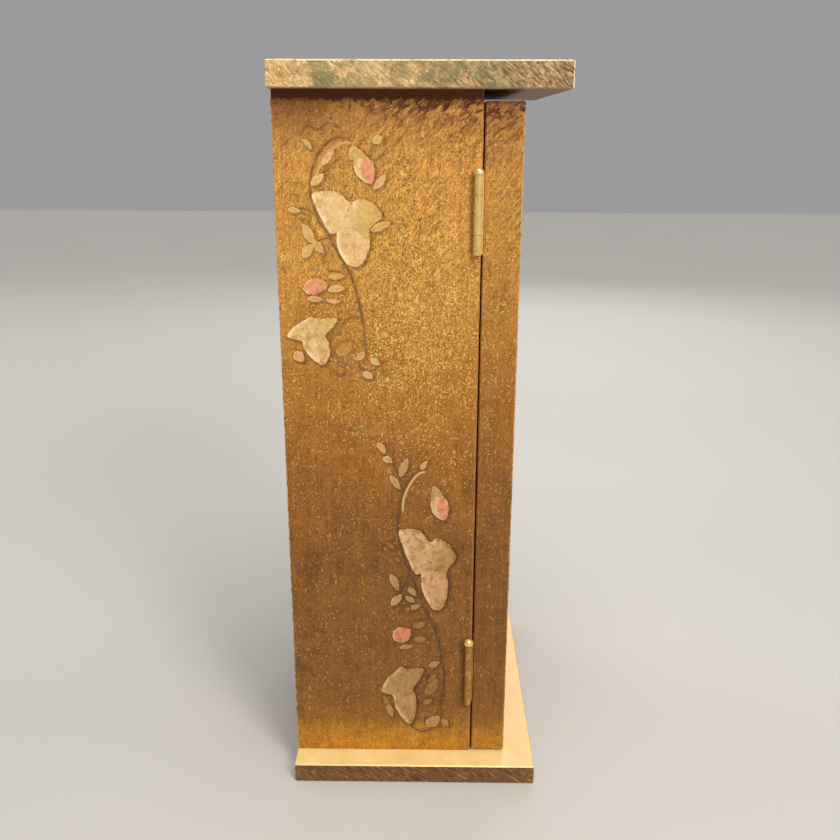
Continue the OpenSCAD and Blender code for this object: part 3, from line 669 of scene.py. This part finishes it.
LOWER_VINE = {
    "broad": [[(8.4, 118.5), (-16, 105.5), (-7.9, 81)]],
    "slim": [[(16.6, 40.8), (-2.6, 51.2), (3.9, 23)]],
    "stems": [
        [(-3.6, 146.6), (0, 146.4), (4.4, 141.4), (7.4, 132), (8.8, 121), (7.2, 110), (4, 101),
         (1.2, 93), (-3, 82), (-6.6, 74), (-9.2, 66), (-10.4, 58), (-11.6, 49),
         (-11.2, 41), (-10.4, 33), (-11.2, 25)],
        [(16.5, 157.5), (13, 152), (9.4, 146), (6.4, 141), (5.2, 139)],
        [(8.4, 118), (12, 113), (15.6, 111.8)],
        [(3.4, 99), (6.4, 92), (9.4, 88)],
        [(-3, 82), (1.4, 84.6), (5, 83)],
        [(-6, 75), (-2.4, 77), (2, 73.4)],
        [(-10.6, 56), (-7, 51), (-3.4, 46), (-5.4, 41), (-8.6, 44.6)],
        [(-10.4, 33), (-7.6, 27.4), (-3, 25.6), (-5, 21.6), (-10, 21.4)],
        [(4, 22.6), (-1, 19), (-6.4, 20)],
    ],
    "pale_stems": [[(6.6, 126), (6.4, 133), (3.6, 140), (0.2, 144.4), (-3.4, 145.6)]],
    "leaflets": [
        ((17.2, 158.4), (13.8, 153.2), 2.8), ((15, 151.6), (10.8, 149.6), 3),
        ((7.8, 143), (4.4, 151.8), 3.2), ((11.8, 143.8), (7.8, 137.4), 2.8),
        ((-0.8, 146.4), (-3.6, 150.4), 2), ((12, 98.6), (8.4, 90.2), 3.4),
        ((11.8, 83.2), (7, 88.6), 3.4), ((4.2, 92.2), (1, 88), 2.6),
        ((5.6, 87.6), (1.4, 84.8), 2.6), ((3.2, 81.6), (-0.8, 83.6), 2.4),
        ((8.4, 62), (2.2, 63.2), 2.2), ((-4.8, 52.8), (-9.6, 55.2), 2.8),
        ((13.8, 33.4), (11.4, 26.4), 2.8), ((-3.4, 23), (-9.4, 26.6), 3),
        ((-10.8, 25.8), (-13.8, 22), 2.8)],
    "ghosts": [
        ((3, 73), (-3.6, 74.6), 4.4), ((2.6, 66.4), (-4.4, 66.8), 4.2),
        ((14, 113.4), (9.6, 109.8), 2.6), ((10.8, 106.6), (7.4, 103.6), 2.4),
        ((-3.6, 38), (-9, 47.4), 5.6), ((-1.8, 33.4), (-6.8, 35.8), 3.4),
        ((15.6, 38), (13.2, 31.4), 3), ((-4.2, 44.6), (-8.4, 49.2), 3)],
    "buds": [((-6.4, 139.4), (-10.6, 123.4), 7.4)],
    "blooms": [((10.8, 66.4), (3.2, 71.4), 7.6, 0.95), ((-4.4, 21.8), (-9.8, 27.2), 5, 0.25)],
}


def move_vine(vine, move):
    """The same vine with every point moved by a function, which also scales the widths."""
    def each(part, item):
        if part in ("broad", "slim", "stems", "pale_stems"):
            return [move(point) for point in item]
        base, tip, width, *rest = item
        ends = [move(base), move(tip)]
        grown = np.hypot(*np.subtract(*ends)) / np.hypot(*np.subtract(base, tip))
        return (*ends, width * grown, *rest)
    return {part: [each(part, item) for item in items] for part, items in vine.items()}


# ---- Meshes ----

X, Y, Z = (1, 0, 0), (0, 1, 0), (0, 0, 1)


def box_mm(node):
    return [np.array(corner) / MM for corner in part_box(node)]


class Face:
    """A flat face of the chest: where millimetres across, up and out of it are in the chest."""

    def __init__(self, origin, across, up, out):
        self.origin = np.array(origin, float)
        self.axes = np.array((across, up, out), float)

    def place(self, points):
        return self.origin + np.asarray(points, float) * MM @ self.axes


class Pieces:
    """Gathers closed shapes on one face, with values at each point, into one mesh object."""

    def __init__(self, face):
        self.face, self.points, self.faces, self.values, self.count = face, [], [], {}, 0

    def add(self, points, faces, **values):
        self.points.append(self.face.place(points))
        self.faces += [tuple(i + self.count for i in f) for f in faces]
        for name in set(values) | set(self.values):
            kept = self.values.setdefault(name, [np.zeros(self.count)])
            kept.append(np.broadcast_to(values.get(name, 0.0), len(points)).astype(float))
        self.count += len(points)

    def make(self, name, body, material, slot, sharp=40):
        mesh = bpy.data.meshes.new(name)
        mesh.from_pydata(np.vstack(self.points).tolist(), [], self.faces)
        for key, parts in self.values.items():
            layer = mesh.attributes.new(key, "FLOAT", "POINT")
            layer.data.foreach_set("value", np.concatenate(parts).astype(np.float32))
        obj = add_object(name, mesh, body, material)
        recalculate_normals(mesh)
        mesh.polygons.foreach_set("use_smooth", [True] * len(mesh.polygons))
        mesh.set_sharp_from_angle(angle=math.radians(sharp))
        return obj


def add_object(name, mesh, body, material):
    obj = bpy.data.objects.new(name, mesh)
    bpy.context.scene.collection.objects.link(obj)
    set_material(obj, material)
    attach(obj, body)
    return obj


def recalculate_normals(mesh):
    work = bmesh.new()
    work.from_mesh(mesh)
    bmesh.ops.recalc_face_normals(work, faces=work.faces)
    work.to_mesh(mesh)
    work.free()


def lumps(across, up, cell, seed):
    """Smooth random heights from -1 to 1, with features of about cell mm."""
    table = np.random.RandomState(seed).uniform(-1, 1, (64, 64))
    a, b = across / cell, up / cell
    i, j = np.floor(a).astype(int), np.floor(b).astype(int)
    s, t = a - i, b - j
    s, t = s * s * (3 - 2 * s), t * t * (3 - 2 * t)
    def at(m, n):
        return table[m % 64, n % 64]
    return ((at(i, j) * (1 - s) + at(i + 1, j) * s) * (1 - t)
            + (at(i, j + 1) * (1 - s) + at(i + 1, j + 1) * s) * t)


def distance_to_line(points, line, closed=False):
    """The distance from each point to a line of straight stretches."""
    starts = line if closed else line[:-1]
    ends = np.roll(line, -1, axis=0) if closed else line[1:]
    best = np.full(len(points), np.inf)
    for a, b in zip(starts, ends):
        along = b - a
        t = np.clip((points - a) @ along / max(along @ along, 1e-9), 0, 1)
        best = np.minimum(best, np.hypot(*(points - a - t[:, None] * along).T))
    return best


def is_inside(points, outline):
    inside = np.zeros(len(points), bool)
    for a, b in zip(outline, np.roll(outline, -1, axis=0)):
        crosses = (a[1] > points[:, 1]) != (b[1] > points[:, 1])
        if crosses.any():
            at = a[0] + (points[:, 1] - a[1]) * (b[0] - a[0]) / (b[1] - a[1] if b[1] != a[1] else 1e-9)
            inside ^= crosses & (points[:, 0] < at)
    return inside


def signed_area(outline):
    return np.sum(outline[:, 0] * np.roll(outline[:, 1], -1) - outline[:, 1] * np.roll(outline[:, 0], -1)) / 2


def lobe_shares(points, centre, tips):
    """How much each point belongs to each lobe."""
    def unit(v):
        return v / np.maximum(np.hypot(*v.T), 1e-6)[:, None]
    weight = np.exp(9 * unit(points - centre) @ unit(np.array(tips, float) - centre).T)
    return weight / weight.sum(1, keepdims=True)


def frayed(outline, amount=0.22):
    """The outline with the small unevenness of hand-cut paper."""
    u, v = outline.T
    return outline + amount * np.column_stack([lumps(u, v, 0.9, 11), lumps(u, v, 0.9, 12)])


FILM = 0.10  # thickness of the paint film on a decorated face, in mm
FILM_GRID = 0.5  # distance between the film's points, in mm
SHADE_SHIFT = np.array((-0.55, -0.45))  # the dark side of a shape is to its right and below, in mm


def add_relief(pieces, outline, centre, height, veins=(), rings=7, above=0.0, lobes=(), **values):
    """A closed pad on the paint film: domed, with a crisp rim and with grooves along its veins.
    lobes lists a tip, a tint and a pinkness for each lobe."""
    n = len(outline)
    foot = FILM + above
    shares = 1 - np.linspace(1, 0, rings) ** 1.6
    layers = [centre + (outline - centre) * s for s in shares[1:]]
    flat = np.vstack([[centre], *layers])
    rim = np.concatenate([[0.0], np.repeat(shares[1:], n)])
    groove = np.zeros(len(flat))
    for a, b in veins:
        line = np.array([a, b])
        groove = np.maximum(groove, np.exp(-(distance_to_line(flat, line) / 0.35) ** 2))
    rise = height * (1 - 0.30 * rim ** 6) + 0.05 * lumps(flat[:, 0], flat[:, 1], 1.7, 5) - 0.07 * groove
    top = np.column_stack([flat, rise + foot])
    bottom = np.column_stack([outline, np.full(n, foot - 0.05)])
    faces = [(0, 1 + i, 1 + (i + 1) % n) for i in range(n)]
    for k in range(rings - 1):
        low, high = 1 + k * n, 1 + (k + 1) * n
        faces += [(low + i, high + i, high + (i + 1) % n, low + (i + 1) % n) for i in range(n)]
    faces.append(tuple(range(len(flat), len(flat) + n)))
    if lobes:
        shares = lobe_shares(np.vstack([flat, outline]), centre, [tip for tip, tint, pink in lobes])
        values["tint"] = shares @ [tint for tip, tint, pink in lobes]
        values["pink"] = shares @ [pink for tip, tint, pink in lobes]
    turned = np.roll(outline, -1, axis=0) - np.roll(outline, 1, axis=0)
    around = turned[:, 1] * np.sign(signed_area(outline)) / np.maximum(np.hypot(*turned.T), 1e-6)
    lit = np.concatenate([[0.0], np.tile(np.clip(around, 0, 1), rings)])
    pieces.add(np.vstack([top, bottom]), faces, lit=lit, rim=np.append(rim, np.ones(n)),
               vein=np.append(groove, np.zeros(n)), **values)


def add_ribbon(pieces, line, width, height, **values):
    """A rounded ridge along a line on the paint film, tapering at both ends."""
    line = smooth_line(line)
    n = len(line)
    along = np.gradient(line, axis=0)
    across = np.column_stack([-along[:, 1], along[:, 0]]) / np.hypot(*along.T)[:, None]
    t = np.linspace(0, 1, n)
    taper = np.clip(np.minimum(t, 1 - t) * 7, 0.25, 1)
    angles = np.linspace(0, math.pi, 6)
    rings = [np.column_stack([line + across * (taper * width / 2 * math.cos(a))[:, None],
                              FILM - 0.05 + (height + 0.05) * taper * math.sin(a)]) for a in angles]
    m = len(angles)
    faces = [(k * n + i, (k + 1) % m * n + i, (k + 1) % m * n + i + 1, k * n + i + 1)
             for k in range(m) for i in range(n - 1)]
    faces += [tuple(k * n for k in range(m)), tuple(k * n + n - 1 for k in range(m))]
    pieces.add(np.vstack(rings), faces, **values)


def add_film(pieces, across, up, shapes, lines, ghosts):
    """The paint film of a decorated face: a closed sheet, raised over ghosts and shaded beside
    the shapes and lines, which come with how strong their shade is."""
    us, vs = (np.linspace(*span, int((span[1] - span[0]) / FILM_GRID) + 1) for span in (across, up))
    nu, nv = len(us), len(vs)
    grid = np.stack(np.meshgrid(us, vs, indexing="ij"), -1).reshape(-1, 2)
    shade, ghost = np.zeros(len(grid)), np.zeros(len(grid))

    def near(line, reach):
        low, high = line.min(0) - reach, line.max(0) + reach
        return np.nonzero(((grid >= low) & (grid <= high)).all(1))[0]

    for outline, strength in shapes:
        here = near(outline, 3.5)
        points = grid[here] - SHADE_SHIFT
        off = distance_to_line(points, outline, closed=True)
        off[is_inside(points, outline)] = 0
        shade[here] = np.maximum(shade[here], strength * np.exp(-(off / 0.9) ** 2))
    for outline in ghosts:
        here = near(outline, 3.0)
        off = distance_to_line(grid[here], outline, closed=True)
        inner = is_inside(grid[here], outline)
        ghost[here] = np.maximum(ghost[here], np.where(inner, 1 - np.exp(-(off / 0.6) ** 2), 0))
        shade[here] = np.maximum(shade[here], 0.5 * np.exp(-(off / 0.7) ** 2))
    for line, strength in lines:
        here = near(line, 3.5)
        off = distance_to_line(grid[here], line)
        shade[here] = np.maximum(shade[here], strength * np.exp(-(off / 0.85) ** 2))
    rise = (FILM + 0.20 * ghost - 0.05 * shade + 0.018 * lumps(grid[:, 0], grid[:, 1], 1.3, 1)
            + 0.02 * lumps(grid[:, 0], grid[:, 1], 4.0, 2))
    index = np.arange(nu * nv).reshape(nu, nv)
    quads = np.stack([index[:-1, :-1], index[1:, :-1], index[1:, 1:], index[:-1, 1:]], -1).reshape(-1, 4)
    loop = np.concatenate([index[:, 0], index[-1, 1:], index[-2::-1, -1], index[0, -2:0:-1]])
    under = np.column_stack([grid[loop], np.full(len(loop), 0.005)])
    m = len(loop)
    first = nu * nv
    walls = [(loop[i], first + i, first + (i + 1) % m, loop[(i + 1) % m]) for i in range(m)]
    faces = quads.tolist() + walls + [tuple(range(first, first + m))]
    pieces.add(np.vstack([np.column_stack([grid, rise]), under]), faces,
               shade=np.append(shade, np.zeros(m)), ghost=np.append(ghost, np.zeros(m)))


LOBE_COLOURS = {"broad": [(0.15, 0.06), (0.95, 0.0), (0.20, 0.16)],
                "slim": [(0.35, 0.0), (0.60, 0.0), (0.25, 0.08)]}


def decorate(name, face, body, vines, across=None, up=None):
    """Vine lines and paper leaves on one face of the chest, on a paint film if its span is given."""
    film, paper, lines = Pieces(face), Pieces(face), Pieces(face)
    rng = np.random.RandomState(len(name))
    shapes, ghosts, drawn = [], [], []
    for vine in vines:
        for kind, pattern in LEAF_KINDS.items():
            for placed in vine[kind]:
                shape, notches, heart = lobed(*pattern, placed)
                shape = frayed(shape)
                shapes.append((shape, 0.85))
                creases = [(heart, notch) for notch in notches] + [(heart, np.array(placed[2], float))]
                lobes = [(tip, *colour) for tip, colour in zip(placed, LOBE_COLOURS[kind])]
                add_relief(paper, shape, heart, 0.22, creases, rings=12, lobes=lobes)
        for base, tip, width in vine["leaflets"]:
            shape = frayed(lens(base, tip, width, lean=rng.uniform(-0.3, 0.3)), 0.15)
            shapes.append((shape, 0.6))
            add_relief(paper, shape, shape.mean(0), 0.20, [(np.array(base), np.array(tip))],
                       tint=rng.uniform(0.1, 0.9), veil=rng.uniform(0.05, 0.45))
        for base, tip, width in vine["buds"]:
            add_bud(paper, shapes, np.array(base), np.array(tip), width)
        for base, tip, width, pink in vine["blooms"]:
            shape = frayed(lens(base, tip, width, blunt=0.62), 0.4)
            shapes.append((shape, 0.7))
            add_relief(paper, shape, shape.mean(0), 0.30, pink=pink, veil=0.5 * (1 - pink))
        ghosts += [lens(base, tip, width, blunt=0.7) for base, tip, width in vine["ghosts"]]
        for line in vine["stems"]:
            main = len(line) > 8
            drawn.append((smooth_line(line), 0.65 if main else 0.5))
            add_ribbon(lines, line, 0.9 if main else 0.6, 0.14 if main else 0.08)
        for line in vine["pale_stems"]:
            add_ribbon(lines, line, 1.1, 0.14, pale=1.0)
    if across:
        add_film(film, across, up, shapes, drawn, ghosts)
        film.make(name + "_film", body, GOLD, "gold_paint", sharp=80)
    lines.make(name + "_vine_lines", body, STEM, "gold_paint", sharp=60)
    paper.make(name + "_vine_leaves", body, DECAL, "gold_paint")


def add_bud(paper, shapes, base, tip, width):
    """A rosebud: a pale outer petal, the pink heart over it, and two sepals at its base."""
    along = tip - base
    across = np.array((-along[1], along[0])) / np.hypot(*along)
    start = base + along * 0.22
    outer = frayed(lens(start, tip, width, blunt=0.65))
    shapes.append((outer, 0.8))
    add_relief(paper, outer, outer.mean(0), 0.26, tint=0.1)
    right = across if across[0] < 0 else -across
    inner = lens(start + along * 0.14 + right * width * 0.14, tip + right * width * 0.04, width * 0.70,
                 blunt=0.6)
    add_relief(paper, inner, inner.mean(0), 0.14, above=0.26, pink=1.0)
    for side in (-1, 1):
        sepal = lens(base - across * side * width * 0.10, base + along * 0.42 + across * side * width * 0.34,
                     width * 0.34)
        shapes.append((sepal, 0.6))
        add_relief(paper, sepal, sepal.mean(0), 0.36, tint=0.8, veil=0.3)


# ---- Soft linings ----

LINING = 0.8  # thickness of the velvet, in mm


def rounded_ring(low, high, radius, steps=6):
    """Points round a rectangle with round corners."""
    made = []
    corners = [(high[0], high[1], 0), (low[0], high[1], 90), (low[0], low[1], 180), (high[0], low[1], 270)]
    for cx, cy, turn in corners:
        px = cx - math.copysign(radius, cx - (low[0] + high[0]) / 2)
        py = cy - math.copysign(radius, cy - (low[1] + high[1]) / 2)
        for k in range(steps + 1):
            a = math.radians(turn + 90 * k / steps)
            made.append((px + radius * math.cos(a), py + radius * math.sin(a)))
    return np.array(made)


def fill_rings(rings):
    """Quads between rings of equal length, with the first and last ring closed."""
    n = len(rings[0])
    faces = []
    for k in range(len(rings) - 1):
        a, b = k * n, (k + 1) * n
        faces += [(a + i, a + (i + 1) % n, b + (i + 1) % n, b + i) for i in range(n)]
    faces.append(tuple(range(n))[::-1])
    faces.append(tuple(range((len(rings) - 1) * n, len(rings) * n)))
    return faces


def split_long_edges(ring, longest):
    """The ring with points added along its long straight stretches."""
    made = []
    for a, b in zip(ring, np.roll(ring, -1, axis=0)):
        parts = max(1, int(np.hypot(*(b - a)) / longest))
        made += [a + (b - a) * i / parts for i in range(parts)]
    return np.array(made)


def make_velvet(node, body, name, face, points, rings):
    pieces = Pieces(face)
    pieces.add(np.vstack(points), fill_rings(rings))
    cloth = pieces.make(name, body, VELVET, "wine_velvet", sharp=70)
    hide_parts(node)


def velvet_tray(node, body, name):
    """The cloth glued inside a drawer: soft corners, a rolled top edge and a slightly full floor."""
    low, high = box_mm(node)
    centre = (low[:2] + high[:2]) / 2
    half_width, half_depth = 43, 31  # that an inset is a share of
    outer = split_long_edges(rounded_ring(low[:2] + 0.05, high[:2] - 0.05, 0.6), 3.0)
    roll = LINING / 2
    rings = [(1.0, low[2] + 0.05), (1.0, high[2] - roll)]
    for turn in (30, 90, 150):
        a = math.radians(turn)
        rings.append((1 - (roll - roll * math.cos(a)) / half_width, high[2] - roll + roll * math.sin(a)))
    floor = low[2] + LINING
    for inset, z in ((0, high[2] - 1.2), (0, floor + 3.0), (0.3, floor + 1.4), (1.2, floor + 0.4),
                     (2.8, floor + 0.05)):
        rings.append((1 - (LINING + inset) / half_depth, z))
    for share, rise in ((0.8, 0.15), (0.6, 0.3), (0.4, 0.4), (0.2, 0.45), (0.04, 0.45)):
        rings.append((share * 0.9, floor + 0.05 + rise))
    flats, points = [centre + (outer - centre) * share for share, z in rings], []
    for ring, (share, z) in zip(flats, rings):
        uneven = 0.04 * lumps(ring[:, 0] + z, ring[:, 1], 6.0, 3)
        points.append(np.column_stack([ring, z + uneven]))
    make_velvet(node, body, name, Face((0, 0, 0), X, Y, Z), points, flats)


def velvet_pad(node, body, name):
    """The cloth on the back of the door's panel: thin, full in the middle, turned in at its edges."""
    low, high = box_mm(node)
    mid = (low + high) / 2
    depth = high[1] - low[1]
    outer = rounded_ring((low[0] + 0.1, low[2] + 0.1), (high[0] - 0.1, high[2] - 0.1), 1.0)
    outer = split_long_edges(outer, 4.0)
    centre = np.array((mid[0], mid[2]))
    profile = [(1.0, 0.0), (1.0, 0.35), (0.996, 0.62), (0.985, 0.78), (0.96, 0.86), (0.9, 0.92),
               (0.75, 0.97), (0.55, 1.0), (0.3, 1.0), (0.05, 1.0)]
    rings = [centre + (outer - centre) * share for share, rise in profile]
    points = [np.column_stack([ring, rise * (depth + 0.04 * lumps(ring[:, 0], ring[:, 1], 9.0, 4))])
              for ring, (share, rise) in zip(rings, profile)]
    face = Face((0, low[1] * MM, 0), X, Z, Y)
    make_velvet(node, body, name, face, points, rings)


# ---- Putting it together ----

make_camera()
make_studio()
GOLD, TOP, BASE, BACK = paint_material(), top_material(), base_material(), back_material()
BRASS, PAINTED_BRASS = brass_material(), painted_brass_material()
STEEL = steel_material("steel", (196, 196, 200), (140, 140, 146))
MAGNET = steel_material("magnet", (120, 120, 124), (84, 84, 88))
DECAL, STEM, VELVET = decal_material(), stem_material(), velvet_material()
WOOD_Y = wood_material("drawer_wood", (150, 104, 62), (206, 162, 108), "y")
WOOD_X = wood_material("shelf_wood", (140, 96, 56), (198, 152, 98), "x")

LOOKS = {"gold_paint": GOLD, "cream_gold_paint": TOP, "pale_gold_paint": BASE, "back_paint": BACK,
         "bare_wood": WOOD_Y, "brass": BRASS, "painted_brass": PAINTED_BRASS, "steel": STEEL,
         "magnet": MAGNET, "wine_velvet": VELVET}
for part in frame["record"]["subparts"]:
    set_material(nodes[part["node"]], LOOKS[part["material_slot"]])
for name in ["shelves", "top_dowels"] + [f"drawer_{i}_back" for i in range(1, drawer_count + 1)]:
    set_material(nodes[name], WOOD_X)

left_low, left_high = box_mm("left_side_panel")
EASE = 0.5  # how far the film stays from the side's front and back edges, in mm
side_across = (left_low[1] + EASE, left_high[1] - EASE)
side_up = (left_low[2], left_high[2])
VINES = [UPPER_VINE, LOWER_VINE]
for name, out in (("left_side", -1), ("right_side", 1)):
    face = Face((-out * left_low[0] * MM, 0, 0), Y, Z, (out, 0, 0))
    decorate(name, face, "carcase", VINES, side_across, side_up)

panel_low, panel_high = box_mm("door_lining")
front_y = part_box("door_panel")[0].y
door_face = Face((0, front_y, 0), X, Z, (0, -1, 0))
side_mid = (side_across[0] + side_across[1]) / 2
DOOR_SCALE = 0.9


def to_door(point):
    """A point of the side's vine on the door's panel, which is wider and not so tall."""
    return ((side_mid - point[0]) * 1.05, panel_low[2] + (point[1] - left_low[2]) * DOOR_SCALE)


decorate("door_panel", door_face, "door", [move_vine(vine, to_door) for vine in VINES],
         (panel_low[0], panel_high[0]), (panel_low[2], panel_high[2]))

# One spray lies along the top board, its middle on the board's middle.
SPRAY_MIDDLE = (33, 235)
top_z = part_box("top_board")[1].z
top_face = Face((-SPRAY_MIDDLE[1] * MM, -SPRAY_MIDDLE[0] * MM, top_z - FILM * MM), Y, X, Z)
decorate("top_board", top_face, "carcase", [UPPER_VINE])

velvet_pad("door_lining", "door", "door_velvet")
for i in range(1, drawer_count + 1):
    velvet_tray(f"drawer_{i}_lining", f"drawer_{i}", f"drawer_{i}_velvet")

floor_mesh = bpy.data.meshes.new("floor")
floor_mesh.from_pydata([(-3, -3, 0), (3, -3, 0), (3, 3, 0), (-3, 3, 0)], [], [(0, 1, 2, 3)])
floor = bpy.data.objects.new("floor", floor_mesh)
bpy.context.scene.collection.objects.link(floor)
set_material(floor, floor_material())
